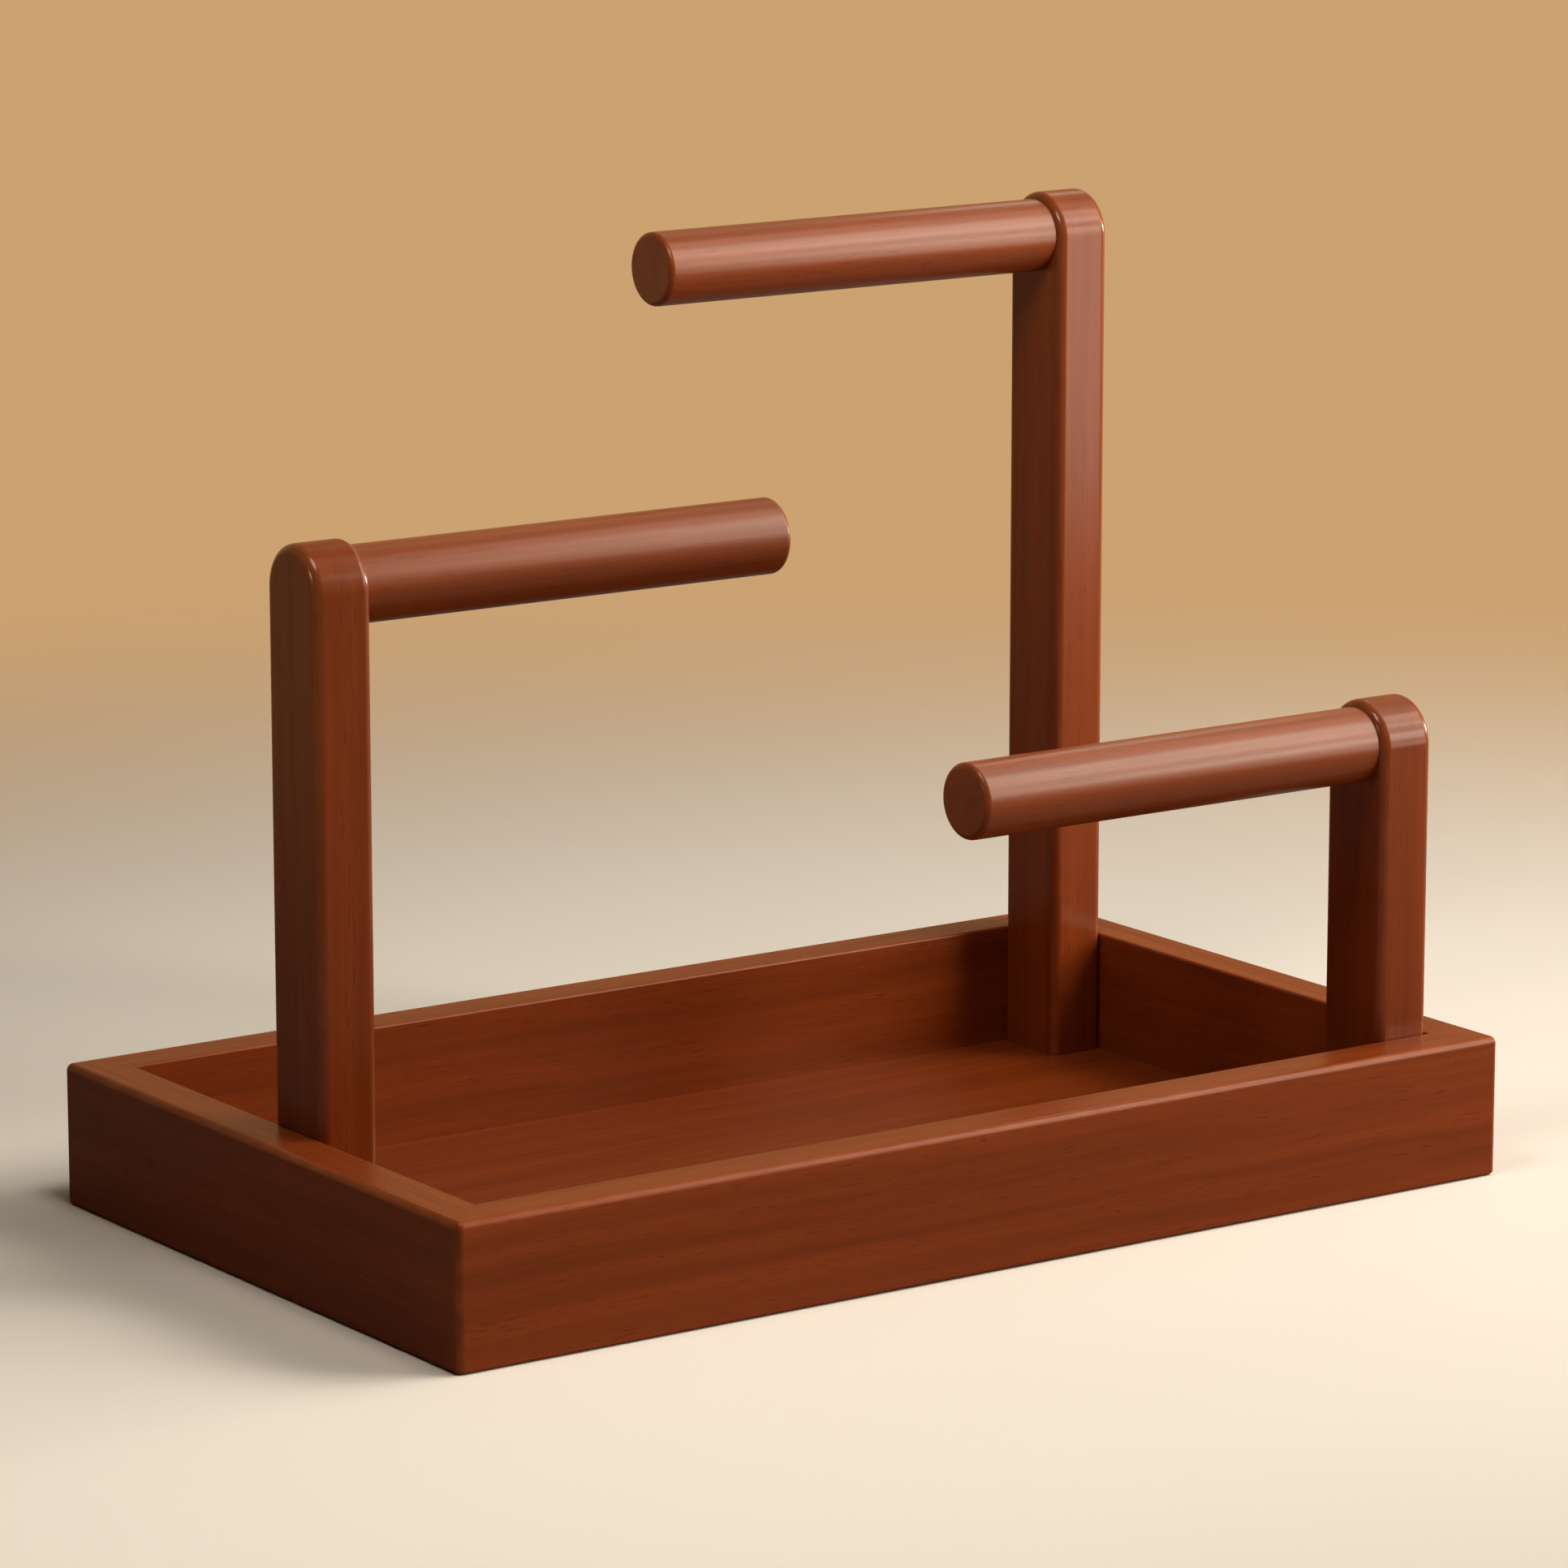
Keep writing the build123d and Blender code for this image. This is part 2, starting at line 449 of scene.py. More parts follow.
def mix_colours(tree, factor, first, second):
    """Adds a mix of two colours by a linked factor and gives its result."""
    node = add_node(tree, "ShaderNodeMix", data_type="RGBA")
    tree.links.new(factor, node.inputs[0])
    for index, value in ((6, first), (7, second)):
        if isinstance(value, bpy.types.NodeSocket):
            tree.links.new(value, node.inputs[index])
        else:
            node.inputs[index].default_value = (*value, 1.0)
    return node.outputs[2]


def maths(tree, operation, first, second=0.0):
    """Adds a step of arithmetic and gives its result."""
    node = add_node(tree, "ShaderNodeMath", {0: first, 1: second}, operation=operation)
    return node.outputs[0]


def remap(tree, value, low, high, new_low=0.0, new_high=1.0):
    """Adds a smooth change of range and gives its result."""
    node = add_node(
        tree,
        "ShaderNodeMapRange",
        {"Value": value, "From Min": low, "From Max": high, "To Min": new_low, "To Max": new_high},
        interpolation_type="SMOOTHSTEP",
    )
    return node.outputs[0]


def emboss(tree, shader, height, strength, depth):
    """Adds bumps of a linked height to a shader."""
    bump = add_node(
        tree, "ShaderNodeBump", {"Height": height, "Strength": strength, "Distance": depth}
    )
    tree.links.new(bump.outputs[0], shader.inputs["Normal"])


def grain_feature(tree, place, name):
    """Adds noise drawn out along the grain and gives its levels."""
    long, wide, detail, low, high = GRAIN[name]
    scaled = add_node(
        tree,
        "ShaderNodeMapping",
        {"Vector": place, "Scale": (1 / long, 1 / wide, 1 / wide)},
        vector_type="POINT",
    )
    noise = add_node(
        tree,
        "ShaderNodeTexNoise",
        {"Vector": scaled.outputs[0], "Scale": 1.0, "Detail": detail, "Roughness": GRAIN_ROUGHNESS},
        label=name,
    )
    return remap(tree, noise.outputs["Fac"], low, high)


def wood_figure():
    """Shader group of the wood's figure, with the grain along the X of its coordinates in metres."""
    name = "Wood figure"
    if name in bpy.data.node_groups:
        return bpy.data.node_groups[name]
    tree = bpy.data.node_groups.new(name, "ShaderNodeTree")
    tree.interface.new_socket("Grain", in_out="INPUT", socket_type="NodeSocketVector")
    for output in ("Figure", "Fibres", "Pores"):
        tree.interface.new_socket(output, in_out="OUTPUT", socket_type="NodeSocketFloat")
    source = tree.nodes.new("NodeGroupInput")
    target = tree.nodes.new("NodeGroupOutput")

    # Slow drift that keeps the grain from running dead straight
    drift = add_node(
        tree,
        "ShaderNodeTexNoise",
        {"Vector": source.outputs[0], "Scale": DRIFT_SCALE, "Detail": 1.0},
    )
    centred = add_node(
        tree,
        "ShaderNodeVectorMath",
        {0: drift.outputs["Color"], 1: (0.5, 0.5, 0.5)},
        operation="SUBTRACT",
    )
    bent = add_node(
        tree,
        "ShaderNodeVectorMath",
        {0: centred.outputs[0], 1: (0.0, DRIFT_REACH, DRIFT_REACH)},
        operation="MULTIPLY",
    )
    place = add_node(
        tree, "ShaderNodeVectorMath", {0: source.outputs[0], 1: bent.outputs[0]}, operation="ADD"
    ).outputs[0]
    features = {feature: grain_feature(tree, place, feature) for feature in GRAIN}

    # Growth rings, in which the pores gather
    pith = add_node(tree, "ShaderNodeMapping", {"Vector": place, "Location": PITH})
    rings = add_node(
        tree,
        "ShaderNodeTexWave",
        {
            "Vector": pith.outputs[0],
            "Scale": RING_SCALE,
            "Distortion": RING_WAVER,
            "Detail": 1.0,
            "Detail Scale": 2.0,
        },
        wave_type="RINGS",
        rings_direction="X",
        wave_profile="SIN",
    )
    features["Rings"] = rings.outputs["Fac"]

    shares = [
        maths(tree, "MULTIPLY", features[part], weight) for part, weight in FIGURE_SHARES.items()
    ]
    figure = shares[0]
    for portion in shares[1:]:
        figure = maths(tree, "ADD", figure, portion)
    pores = maths(tree, "MULTIPLY", features["Pores"], remap(tree, features["Rings"], *RING_PORES))

    tree.links.new(figure, target.inputs["Figure"])
    tree.links.new(features["Fibres"], target.inputs["Fibres"])
    tree.links.new(pores, target.inputs["Pores"])
    return tree


def lay_figure(tree, place, grain, shift=(0.0, 0.0, 0.0)):
    """Adds the wood's figure with its grain along an axis, and gives what it puts out."""
    laid = add_node(
        tree,
        "ShaderNodeMapping",
        {"Vector": place, "Rotation": GRAIN_TURNS[grain], "Location": shift},
    )
    figure = add_node(tree, "ShaderNodeGroup", node_tree=wood_figure())
    tree.links.new(laid.outputs[0], figure.inputs["Grain"])
    return figure.outputs


def shifted(start, step, index):
    """Shift of the figure on one of several like pieces."""
    return tuple(first + further * index for first, further in zip(start, step))


def lacquered_wood(name, grain, shift, polish, tone=1.0, handled=False):
    """Stained and lacquered wood: the axis of its grain, the shift of its figure, its share of gloss, its
    tone and whether handling has polished its edges."""
    finish = bpy.context.scene.stand_finish
    material, tree, shader = new_material(name)
    place = add_node(tree, "ShaderNodeTexCoord").outputs
    figure = lay_figure(tree, place["Object"], grain, shift)

    dark = [tone * value for value in finish.stain_dark]
    light = [tone * value for value in finish.stain_light]
    stained = mix_colours(tree, figure["Figure"], dark, light)
    pores = maths(tree, "MULTIPLY", figure["Pores"], PORE_STAIN)
    pored = mix_colours(tree, pores, stained, finish.pore)

    # Ends of the fibres drink more stain
    facing = add_node(tree, "ShaderNodeSeparateXYZ", {0: place["Normal"]})
    across = maths(tree, "ABSOLUTE", facing.outputs[grain])
    ended = mix_colours(tree, remap(tree, across, *END_GRAIN), pored, dark)

    # Edges where handling has rubbed the stain thin, lightened further as a painted highlight
    wear = add_node(tree, "ShaderNodeAttribute", attribute_name="wear").outputs["Fac"]
    patches = add_node(
        tree, "ShaderNodeTexNoise", {"Vector": place["Object"], "Scale": PATCH_SCALE, "Detail": 3.0}
    )
    rubbed_and_highlit = maths(tree, "MULTIPLY", wear, remap(tree, patches.outputs["Fac"], *RUB_AND_HIGHLIGHT))
    worn_and_highlit = mix_colours(tree, rubbed_and_highlit, ended, finish.worn_and_highlit_edge)
    tree.links.new(worn_and_highlit, shader.inputs["Base Color"])

    roughness = remap(tree, figure["Fibres"], 0.0, 1.0, *STAINED_ROUGHNESS)
    tree.links.new(roughness, shader.inputs["Roughness"])
    raised = maths(tree, "MULTIPLY", figure["Fibres"], FIBRE_RELIEF)
    emboss(tree, shader, maths(tree, "SUBTRACT", raised, figure["Pores"]), *STAINED_BUMP)
    shader.inputs["Specular IOR Level"].default_value = finish.sheen * polish
    shader.inputs["Specular Tint"].default_value = (*finish.sheen_tint, 1.0)
    film = finish.film * polish
    if handled:
        edge_film = remap(tree, wear, 0.0, POST_WEAR_AND_HIGHLIGHT, film, finish.edge_film)
        tree.links.new(edge_film, shader.inputs["Coat Weight"])
        shader.inputs["Coat Roughness"].default_value = finish.post_film_roughness
    else:
        shader.inputs["Coat Weight"].default_value = film
        shader.inputs["Coat Roughness"].default_value = finish.film_roughness
    return material


def bare_wood():
    """Unstained wood of the splines."""
    finish = bpy.context.scene.stand_finish
    material, tree, shader = new_material("Bare wood")
    place = add_node(tree, "ShaderNodeTexCoord").outputs
    figure = lay_figure(tree, place["Object"], "Z")
    darker = [BARE_SHADE * value for value in finish.bare_wood]
    grained = mix_colours(tree, figure["Figure"], darker, finish.bare_wood)
    tree.links.new(grained, shader.inputs["Base Color"])
    roughness = remap(tree, figure["Fibres"], 0.0, 1.0, *BARE_ROUGHNESS)
    tree.links.new(roughness, shader.inputs["Roughness"])
    emboss(tree, shader, figure["Fibres"], *BARE_BUMP)
    return material


def plated_steel():
    """Zinc plated steel with dull and bright patches."""
    finish = bpy.context.scene.stand_finish
    material, tree, shader = new_material("Plated steel")
    place = add_node(tree, "ShaderNodeTexCoord").outputs
    clouds = add_node(
        tree, "ShaderNodeTexNoise", {"Vector": place["Object"], "Scale": STEEL_CLOUDS, "Detail": 4.0}
    ).outputs["Fac"]
    duller = [STEEL_SHADE * value for value in finish.steel]
    patched = mix_colours(tree, clouds, duller, finish.steel)
    tree.links.new(patched, shader.inputs["Base Color"])
    roughness = remap(tree, clouds, *STEEL_LEVELS, *STEEL_ROUGHNESS)
    tree.links.new(roughness, shader.inputs["Roughness"])
    emboss(tree, shader, clouds, *STEEL_BUMP)
    shader.inputs["Metallic"].default_value = 1.0
    return material


# Tray

def wall_profile(tray):
    """Section of a wall as (inset, height, wear and painted highlight) points, from the foot over the rim to
    the rabbet.
    """
    top = TRAY_HIGH.z
    ledge = PANEL_HIGH.z
    points = [(tray.foot_break, 0.0, 0.0), (0.0, tray.foot_break, 0.0)]
    outer_centre = (tray.edge_round, top - tray.edge_round)
    inner_centre = (WALL_THICKNESS - tray.rim_break, top - tray.rim_break)
    outer = arc(outer_centre, tray.edge_round, pi, pi / 2, ROUND_STEPS)
    inner = arc(inner_centre, tray.rim_break, pi / 2, 0.0, ROUND_STEPS)
    # Rounded stretches carry wear and a painted highlight, strongest at the middle of each round
    for stretch in (outer, inner):
        for step, point in enumerate(stretch):
            points.append((*point, sin(pi * step / ROUND_STEPS)))
    rabbet = WALL_THICKNESS - tray.rabbet_depth
    points += [(WALL_THICKNESS, ledge, 0.0), (rabbet, ledge, 0.0), (rabbet, 0.0, 0.0)]
    return points


def wall_place(run, inward, half_depth, along, inset, height):
    """Point of a wall from its distance along the run, its inset from the outer face and its height."""
    depth = inset - half_depth
    return Vector((run[0] * along + inward[0] * depth, run[1] * along + inward[1] * depth, height))


def wall_rings(run, inward, tray):
    """Rings of a wall from mitre to mitre, turned round the tray's upright corners, with their wear and painted
    highlight.
    """
    half_run, half_depth = TRAY_HIGH.xy if run[0] else TRAY_HIGH.yx
    profile = wall_profile(tray)
    rings, wear = [], []
    for end in (-1, 1):
        for step in range(ROUND_STEPS + 1):
            turned_by = step if end > 0 else ROUND_STEPS - step
            turn = pi / 4 * turned_by / ROUND_STEPS
            ring, worn_and_highlit = [], []
            for inset, height, rub_and_highlight in profile:
                radius = max(tray.edge_round - inset, 0.0)
                reach = half_run - max(tray.edge_round, inset) + radius * sin(turn)
                depth = max(tray.edge_round, inset) - radius * cos(turn)
                ring.append(wall_place(run, inward, half_depth, end * reach, depth, height))
                # Upright corners carry wear and a painted highlight as well
                corner_wear_and_highlight = sin(turn * 2) if radius > 0 else 0.0
                worn_and_highlit.append(max(rub_and_highlight, corner_wear_and_highlight))
            rings.append(ring)
            wear.append(worn_and_highlit)
    return rings, wear


def spline_slot(corner, tray):
    """Cutter for the slot that holds a mitre's spline."""
    side, end = CORNERS[corner]
    low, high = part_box(f"{corner}_spline")
    middle = (low + high) / 2
    across = Vector((side, -end, 0)).normalized() * tray.slot_width / 2
    through = Vector((side, end, 0)).normalized() * tray.slot_thickness / 2
    rings = []
    for height in (low.z - tray.slot_gap, high.z + tray.slot_gap):
        centre = Vector((middle.x, middle.y, height))
        ring = [
            centre - across - through,
            centre + across - through,
            centre + across + through,
            centre - across + through,
        ]
        rings.append(ring)
    return loft("slot", rings)


class STAND_OT_tray_walls(bpy.types.Operator):
    """Build the tray's four mitred walls"""

    bl_idname = "stand.tray_walls"
    bl_label = "Tray Walls"

    def execute(self, context):
        tray = context.scene.stand_tray
        polish = context.scene.stand_finish.tray_polish
        lengthwise = lacquered_wood("Tray wood lengthwise", "X", LENGTHWISE_SHIFT, polish)
        crosswise = lacquered_wood("Tray wood crosswise", "Y", CROSSWISE_SHIFT, polish)
        for name, (run, inward, corners) in WALLS.items():
            wall = loft(f"{name}_board", *wall_rings(run, inward, tray))
            cut(wall, [spline_slot(corner, tray) for corner in corners])
            smooth(wall)
            hand_over(wall, lengthwise if run[0] else crosswise, "tray_wood", name)
        return {"FINISHED"}


class STAND_OT_floor_panel(bpy.types.Operator):
    """Build the thin floor panel with its countersunk screw holes"""

    bl_idname = "stand.floor_panel"
    bl_label = "Floor Panel"

    def execute(self, context):
        screws = context.scene.stand_screws
        finish = context.scene.stand_finish
        ease = context.scene.stand_tray.panel_break
        section = [
            (PANEL_LOW.z, ease),
            (PANEL_LOW.z + ease, 0.0),
            (PANEL_HIGH.z - ease, 0.0),
            (PANEL_HIGH.z, ease),
        ]
        rings = []
        for height, inset in section:
            low_x, high_x = PANEL_LOW.x + inset, PANEL_HIGH.x - inset
            low_y, high_y = PANEL_LOW.y + inset, PANEL_HIGH.y - inset
            ring = [(low_x, low_y), (high_x, low_y), (high_x, high_y), (low_x, high_y)]
            rings.append([(*point, height) for point in ring])
        panel = loft("floor_panel_board", rings)
        sinks = []
        for name in STANDS:
            low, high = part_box(f"{name}_post_screw")
            middle = (low + high) / 2
            wide = (high.x - low.x) / 2 + screws.sink_gap
            deep = wide - screws.hole_radius
            outline = [
                (-deep, wide + deep),
                (deep, screws.hole_radius),
                (2 * PANEL_HIGH.z, screws.hole_radius),
            ]
            place = Vector((middle.x, middle.y, PANEL_LOW.z))
            sinks.append(loft("sink", turned(outline, place, UP, SIDEWAYS)))
        cut(panel, sinks)
        smooth(panel)
        wood = lacquered_wood("Floor wood", "X", PANEL_SHIFT, finish.tray_polish)
        hand_over(panel, wood, "floor_wood", "floor_panel")
        return {"FINISHED"}


# Posts and rods

def rod_axis(name):
    """Point where a rod leaves its post, the direction of the rod, its reach and its radius."""
    low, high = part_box(f"{name}_rod")
    post_low, post_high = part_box(f"{name}_post")
    towards = 1 if post_low.x < 0 else -1
    seat = post_high.x if towards > 0 else post_low.x
    end = high.x if towards > 0 else low.x
    middle = (low + high) / 2
    return Vector((seat, middle.y, middle.z)), towards, abs(end - seat), (high.z - low.z) / 2


def post_section(low, high, axis, inset, depth):
    """Outline of a post at one depth, drawn in by inset."""
    half = (high.y - low.y) / 2 - inset
    ring = [(depth, axis.y - half, low.z)]
    for across, height in arc((axis.y, axis.z), half, pi, 0.0, HEAD_STEPS):
        ring.append((depth, across, height))
    ring.append((depth, axis.y + half, low.z))
    return ring


def tenon_bore(name, posts):
    """Cutter for the blind bore that holds a rod's tenon."""
    axis, towards, _, _ = rod_axis(name)
    radius = posts.tenon_radius + posts.tenon_gap
    outline = [(-posts.tenon_length - posts.tenon_end_gap, radius), (posts.tenon_length, radius)]
    return loft("bore", turned(outline, axis, SIDEWAYS * towards, BACKWARDS))


def pilot_hole(name, foot_height, screws):
    """Cutter for the pilot hole that a post's screw goes into."""
    low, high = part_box(f"{name}_post_screw")
    middle = (low + high) / 2
    radius = screws.shank_radius + screws.thread_height
    outline = [(-PILOT_START, radius), (high.z - foot_height + PILOT_END, radius)]
    return loft("pilot", turned(outline, Vector((middle.x, middle.y, foot_height)), UP, SIDEWAYS))


class STAND_OT_posts(bpy.types.Operator):
    """Build the three round-headed posts"""

    bl_idname = "stand.posts"
    bl_label = "Posts"

    def execute(self, context):
        posts = context.scene.stand_posts
        screws = context.scene.stand_screws
        finish = context.scene.stand_finish
        for index, name in enumerate(STANDS):
            low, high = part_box(f"{name}_post")
            axis, _, _, _ = rod_axis(name)
            edge = posts.edge_round
            near = arc((low.x + edge, edge), edge, pi, 1.5 * pi, ROUND_STEPS)
            far = arc((high.x - edge, edge), edge, 1.5 * pi, 2 * pi, ROUND_STEPS)
            rings, wear = [], []
            for stretch in (near, far):
                for step, (depth, inset) in enumerate(stretch):
                    ring = post_section(low, high, axis, inset, depth)
                    rings.append(ring)
                    # Wear and painted highlight along the post's rounded edges
                    wear.append([POST_WEAR_AND_HIGHLIGHT * sin(pi * step / ROUND_STEPS)] * len(ring))
            post = loft(f"{name}_post_board", rings, wear)
            cut(post, [tenon_bore(name, posts), pilot_hole(name, low.z, screws)])
            smooth(post)
            shift = shifted(POST_SHIFT, POST_SHIFT_STEP, index)
            tone = getattr(finish, f"{name}_tone")
            wood = lacquered_wood(
                f"Post wood {name}", "Z", shift, finish.post_polish, tone, handled=True
            )
            hand_over(post, wood, "post_wood", f"{name}_post")
        return {"FINISHED"}


class STAND_OT_rods(bpy.types.Operator):
    """Build the three rods with their rounded free ends and their tenons"""

    bl_idname = "stand.rods"
    bl_label = "Rods"

    def execute(self, context):
        posts = context.scene.stand_posts
        finish = context.scene.stand_finish
        for index, name in enumerate(STANDS):
            axis, towards, reach, radius = rod_axis(name)
            ease = posts.rod_end_round
            tenon = posts.tenon_radius
            outline = [(-posts.tenon_length, tenon), (0.0, tenon), (0.0, radius)]
            outline += arc((reach - ease, radius - ease), ease, pi / 2, 0.0, ROUND_STEPS)
            rings = turned(outline, axis, SIDEWAYS * towards, BACKWARDS)
            wear = [[0.0] * ROD_STEPS for _ in outline]
            # Wear and painted highlight on the rounded free end
            for step in range(ROUND_STEPS + 1):
                wear[len(outline) - 1 - step] = [POST_WEAR_AND_HIGHLIGHT * sin(pi * step / ROUND_STEPS)] * ROD_STEPS
            rod = loft(f"{name}_rod_dowel", rings, wear)
            smooth(rod)
            shift = shifted(ROD_SHIFT, ROD_SHIFT_STEP, index)
            tone = getattr(finish, f"{name}_tone")
            wood = lacquered_wood(f"Rod wood {name}", "X", shift, finish.rod_polish, tone)
            hand_over(rod, wood, "rod_wood", f"{name}_rod")
        return {"FINISHED"}


# Screws

def screw_tree():
    """Geometry node tree that sets a countersunk wood screw, point upwards, on every point."""
    tree = bpy.data.node_groups.new("Countersunk screws", "GeometryNodeTree")
    face = tree.interface
    face.new_socket("Points", in_out="INPUT", socket_type="NodeSocketGeometry")
    for name in SCREW_SIZES:
        face.new_socket(name, in_out="INPUT", socket_type="NodeSocketFloat")
    face.new_socket("Steel", in_out="INPUT", socket_type="NodeSocketMaterial")
    face.new_socket("Screws", in_out="OUTPUT", socket_type="NodeSocketGeometry")
    size = tree.nodes.new("NodeGroupInput").outputs
    target = tree.nodes.new("NodeGroupOutput")

    def raised(shape, lift):
        up = add_node(tree, "ShaderNodeCombineXYZ", {"Z": lift})
        return add_node(
            tree, "GeometryNodeTransform", {"Geometry": shape, "Translation": up.outputs[0]}
        ).outputs[0]

    def tube(low_radius, high_radius, depth, lift):
        made = add_node(
            tree,
            "GeometryNodeMeshCone",
            {
                "Vertices": SCREW_STEPS,
                "Radius Bottom": low_radius,
                "Radius Top": high_radius,
                "Depth": depth,
            },
            fill_type="NONE",
        )
        return raised(made.outputs[0], lift)

    head_depth = maths(tree, "SUBTRACT", size["Head radius"], size["Shank radius"])
    tip_start = maths(tree, "SUBTRACT", size["Length"], size["Tip length"])
    shank_length = maths(tree, "SUBTRACT", tip_start, head_depth)
    head = tube(size["Head radius"], size["Shank radius"], head_depth, 0.0)
    shank = tube(size["Shank radius"], size["Shank radius"], shank_length, head_depth)
    tip = tube(size["Shank radius"], 0.0, size["Tip length"], tip_start)
    face_disc = add_node(
        tree,
        "GeometryNodeMeshCircle",
        {"Vertices": SCREW_STEPS, "Radius": size["Head radius"]},
        fill_type="NGON",
    )
    shell = tree.nodes.new("GeometryNodeJoinGeometry")
    for part in (head, shank, tip, face_disc.outputs[0]):
        tree.links.new(part, shell.inputs[0])
    welded = add_node(
        tree, "GeometryNodeMergeByDistance", {"Geometry": shell.outputs[0], "Distance": SCREW_WELD}
    )

    # Cross recess of two bars, half of each inside the head
    twice_deep = maths(tree, "MULTIPLY", size["Recess depth"], 2.0)
    recessed = add_node(
        tree,
        "GeometryNodeMeshBoolean",
        {"Mesh 1": welded.outputs[0]},
        operation="DIFFERENCE",
        solver="EXACT",
    )
    for along, across in (("X", "Y"), ("Y", "X")):
        bar_size = add_node(
            tree,
            "ShaderNodeCombineXYZ",
            {along: size["Recess span"], across: size["Recess width"], "Z": twice_deep},
        )
        bar = add_node(tree, "GeometryNodeMeshCube", {"Size": bar_size.outputs[0]})
        tree.links.new(bar.outputs[0], recessed.inputs["Mesh 2"])

    # Thread as a three-sided wire wound round the shank
    turns = maths(tree, "DIVIDE", shank_length, size["Thread pitch"])
    helix = add_node(
        tree,
        "GeometryNodeCurveSpiral",
        {
            "Resolution": THREAD_STEPS,
            "Rotations": turns,
            "Start Radius": size["Shank radius"],
            "End Radius": size["Shank radius"],
            "Height": shank_length,
        },
    )
    wire = add_node(
        tree,
        "GeometryNodeCurvePrimitiveCircle",
        {"Resolution": THREAD_SIDES, "Radius": size["Thread height"]},
    )
    thread = add_node(
        tree,
        "GeometryNodeCurveToMesh",
        {
            "Curve": raised(helix.outputs[0], head_depth),
            "Profile Curve": wire.outputs[0],
            "Fill Caps": True,
        },
    )

    screw = tree.nodes.new("GeometryNodeJoinGeometry")
    tree.links.new(recessed.outputs[0], screw.inputs[0])
    tree.links.new(thread.outputs[0], screw.inputs[0])
    placed = add_node(
        tree, "GeometryNodeInstanceOnPoints", {"Points": size["Points"], "Instance": screw.outputs[0]}
    )
    real = add_node(tree, "GeometryNodeRealizeInstances", {"Geometry": placed.outputs[0]})
    steel = add_node(
        tree, "GeometryNodeSetMaterial", {"Geometry": real.outputs[0], "Material": size["Steel"]}
    )
    tree.links.new(steel.outputs[0], target.inputs[0])
    return tree


class STAND_OT_post_screws(bpy.types.Operator):
    """Set the countersunk screws that hold the posts from beneath"""

    bl_idname = "stand.post_screws"
    bl_label = "Post Screws"

    def execute(self, context):
        screws = context.scene.stand_screws
        nodes = [f"{name}_post_screw" for name in STANDS]
        points = []
        for node in nodes:
            low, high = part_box(node)
            points.append(((low.x + high.x) / 2, (low.y + high.y) / 2, low.z))
        mesh = bpy.data.meshes.new("post_screws")
        mesh.from_pydata(points, [], [])
        piece = bpy.data.objects.new("post_screws", mesh)
        context.scene.collection.objects.link(piece)
        steel = plated_steel()
        sizes = {
            "Head radius": (high.x - low.x) / 2,
            "Shank radius": screws.shank_radius,
            "Length": high.z - low.z,
            "Tip length": screws.tip_length,
            "Recess span": screws.recess_span,
            "Recess width": screws.recess_width,
            "Recess depth": screws.recess_depth,
            "Thread pitch": screws.thread_pitch,
            "Thread height": screws.thread_height,
            "Steel": steel,
        }
        setter = piece.modifiers.new("Screws", "NODES")
        setter.node_group = screw_tree()
        for socket in setter.node_group.interface.items_tree:
            if socket.in_out == "INPUT" and socket.name in sizes:
                setter[socket.identifier] = sizes[socket.name]
        evaluated(piece)
        smooth(piece)
        hand_over(piece, steel, "screw_steel", *nodes)
        return {"FINISHED"}


class STAND_OT_mitre_splines(bpy.types.Operator):
    """Finish the four loose tongues hidden in the mitres"""

    bl_idname = "stand.mitre_splines"
    bl_label = "Mitre Splines"

    def execute(self, context):
        wood = bare_wood()
        for corner in CORNERS:
            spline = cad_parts[f"{corner}_spline"]
            for slot in spline.material_slots:
                slot.material = wood
        return {"FINISHED"}


# Stage

def aimed(thing, place, target):
    """Puts a lamp or a camera at a place and points it at a target."""
    thing.location = place
    thing.rotation_euler = (target - place).to_track_quat("-Z", "Y").to_euler()
    bpy.context.scene.collection.objects.link(thing)


def direction(azimuth, elevation):
    """Unit vector towards a place at that turn round the stand and angle above the floor."""
    return Vector((sin(azimuth) * cos(elevation), -cos(azimuth) * cos(elevation), sin(elevation)))


def disk_lamp(name, size, grid, energy):
    """Round lamp with a grid before it, which the camera doesn't see."""
    data = bpy.data.lights.new(name, "AREA")
    data.shape = "DISK"
    data.size = size
    data.spread = radians(grid)
    data.energy = energy
    data.color = LAMP_TINT
    lamp = bpy.data.objects.new(name, data)
    lamp.visible_camera = False
    return lamp


def floor_material(stage):
    """Pale matt floor with a faint mottle, fading into the background far from the stand."""
    material, tree, shader = new_material("Pale floor")
    place = add_node(tree, "ShaderNodeTexCoord").outputs["Object"]
    mottle = add_node(
        tree, "ShaderNodeTexNoise", {"Vector": place, "Scale": MOTTLE_SCALE, "Detail": 3.0}
    )
    paler = [min(1.0, MOTTLE_LIFT * value) for value in stage.floor]
    tone = mix_colours(tree, mottle.outputs["Fac"], stage.floor, paler)
    paths = add_node(tree, "ShaderNodeLightPath")
    dimming = {"Is Glossy Ray": stage.mirrored_floor, "Is Diffuse Ray": stage.bounced_floor}
    for ray, brightness in dimming.items():
        dimmed = [brightness * value for value in stage.floor]
        tone = mix_colours(tree, paths.outputs[ray], tone, dimmed)
    tree.links.new(tone, shader.inputs["Base Color"])
    shader.inputs["Roughness"].default_value = FLOOR_ROUGHNESS
    shader.inputs["Specular IOR Level"].default_value = FLOOR_SHEEN
    away = add_node(tree, "ShaderNodeVectorMath", {0: place}, operation="LENGTH")
    faded = remap(tree, away.outputs["Value"], stage.fade_start, stage.fade_end)
    clear = add_node(tree, "ShaderNodeBsdfTransparent")
    blend = add_node(
        tree, "ShaderNodeMixShader", {0: faded, 1: shader.outputs[0], 2: clear.outputs[0]}
    )
    tree.links.new(blend.outputs[0], tree.nodes["Material Output"].inputs["Surface"])
    return material


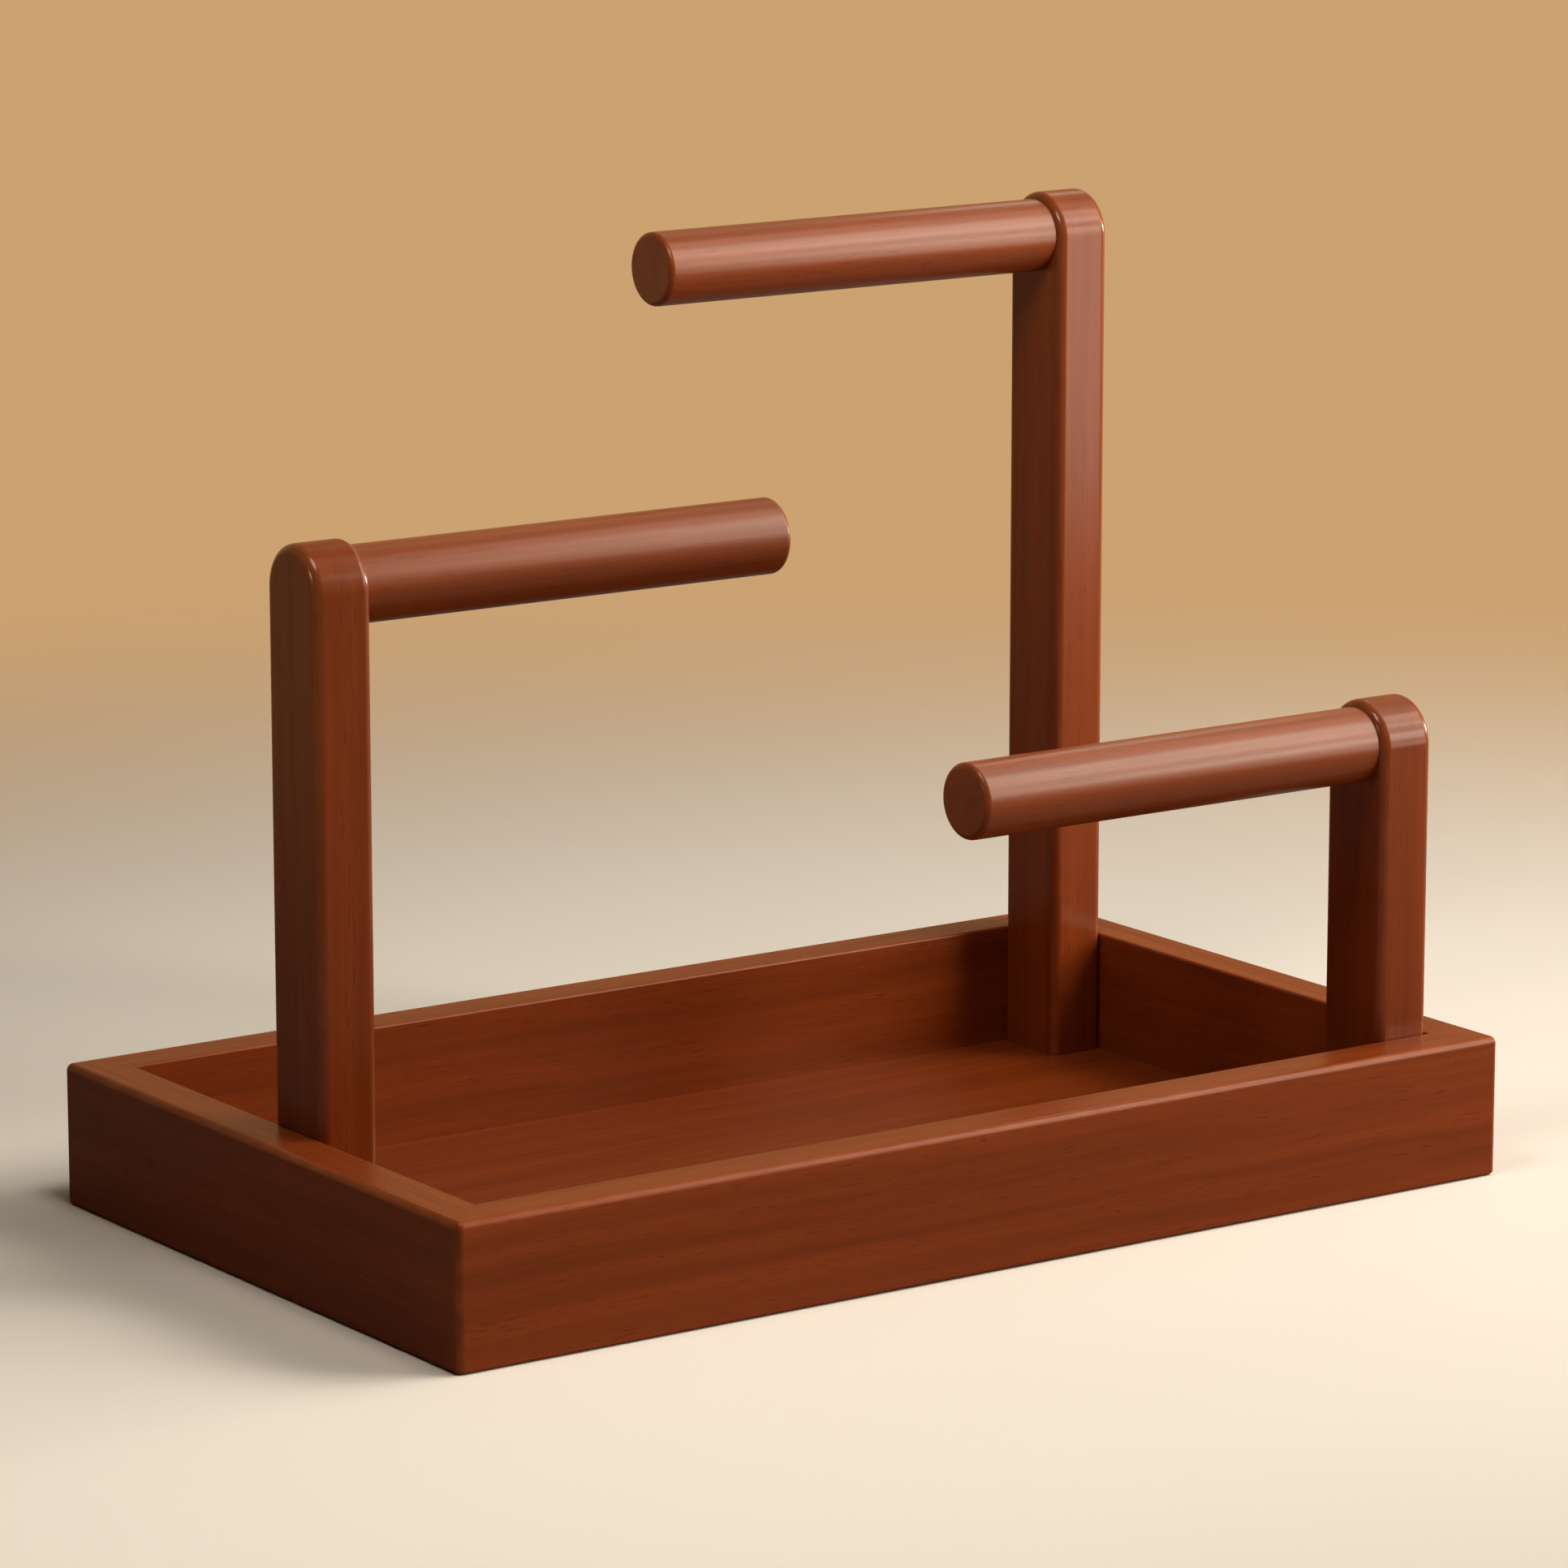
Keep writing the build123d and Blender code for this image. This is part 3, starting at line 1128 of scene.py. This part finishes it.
def pale_world(stage):
    """World that is a warm background to what sees it, and dimmer as a light."""
    world = bpy.data.worlds.new("Studio")
    bpy.context.scene.world = world
    world.use_nodes = True
    tree = world.node_tree
    paths = add_node(tree, "ShaderNodeLightPath")
    seen = maths(tree, "MAXIMUM", paths.outputs["Is Camera Ray"], paths.outputs["Is Glossy Ray"])
    seen = maths(tree, "MAXIMUM", seen, paths.outputs["Is Transmission Ray"])
    background = tree.nodes["Background"]
    background.inputs["Color"].default_value = (*stage.backdrop, 1.0)
    tree.links.new(maths(tree, "MAXIMUM", seen, stage.ambient), background.inputs["Strength"])


class STAND_OT_stage(bpy.types.Operator):
    """Set the pale floor, the soft lamps and the camera"""

    bl_idname = "stand.stage"
    bl_label = "Stage"

    def execute(self, context):
        scene = context.scene
        stage = scene.stand_stage
        mesh = bpy.data.meshes.new("floor")
        shape = bmesh.new()
        bmesh.ops.create_circle(
            shape, cap_ends=True, segments=FLOOR_STEPS, radius=stage.floor_radius
        )
        shape.to_mesh(mesh)
        shape.free()
        floor = bpy.data.objects.new("floor", mesh)
        floor.location.z = -FLOOR_DROP
        mesh.materials.append(floor_material(stage))
        scene.collection.objects.link(floor)
        pale_world(stage)

        target = Vector((stage.target_side, 0.0, stage.target_height))
        for name, (azimuth, elevation, distance, size, grid, energy) in LAMPS.items():
            lamp = disk_lamp(name, size, grid, energy)
            aimed(lamp, target + direction(radians(azimuth), radians(elevation)) * distance, target)
        for name, (place, aim, size, grid, energy) in SPOTS.items():
            lamp = disk_lamp(name, size, grid, energy)
            aimed(lamp, Vector(place), Vector(aim))

        camera = bpy.data.objects.new("Camera", bpy.data.cameras.new("Camera"))
        camera.data.lens = stage.focal_length
        camera.data.sensor_width = SENSOR_WIDTH
        camera.data.clip_start = CLIP_START
        camera.data.clip_end = CLIP_END
        aimed(camera, target + direction(stage.azimuth, stage.elevation) * stage.distance, target)
        scene.camera = camera
        scene.view_settings.view_transform = "Standard"
        return {"FINISHED"}


# Add-on

class STAND_PT_pieces(bpy.types.Panel):
    """Lists the stand's pieces in the sidebar"""

    bl_idname = "STAND_PT_pieces"
    bl_label = "Jewelry Stand"
    bl_space_type = "VIEW_3D"
    bl_region_type = "UI"
    bl_category = "Jewelry Stand"

    def draw(self, context):
        for operator in OPERATORS:
            self.layout.operator(operator.bl_idname)
        for name in GROUPS:
            group = getattr(context.scene, name)
            box = self.layout.box()
            box.label(text=group.bl_rna.description)
            for value in group.bl_rna.properties:
                if value.identifier not in ("rna_type", "name"):
                    box.prop(group, value.identifier)


GROUPS = {
    "stand_tray": StandTray,
    "stand_posts": StandPosts,
    "stand_screws": StandScrews,
    "stand_finish": StandFinish,
    "stand_stage": StandStage,
}
OPERATORS = (
    STAND_OT_tray_walls,
    STAND_OT_floor_panel,
    STAND_OT_posts,
    STAND_OT_rods,
    STAND_OT_post_screws,
    STAND_OT_mitre_splines,
    STAND_OT_stage,
)
CLASSES = (*GROUPS.values(), *OPERATORS, STAND_PT_pieces)


def register():
    """Registers the classes and gives the scene its settings."""
    for kind in CLASSES:
        bpy.utils.register_class(kind)
    for name, group in GROUPS.items():
        setattr(bpy.types.Scene, name, bpy.props.PointerProperty(type=group))


def unregister():
    """Takes back what register added."""
    for name in GROUPS:
        delattr(bpy.types.Scene, name)
    for kind in reversed(CLASSES):
        bpy.utils.unregister_class(kind)


def main():
    """Builds every piece and the stage."""
    register()
    bpy.ops.stand.tray_walls()
    bpy.ops.stand.floor_panel()
    bpy.ops.stand.posts()
    bpy.ops.stand.rods()
    bpy.ops.stand.post_screws()
    bpy.ops.stand.mitre_splines()
    bpy.ops.stand.stage()


if __name__ == "__main__":
    main()
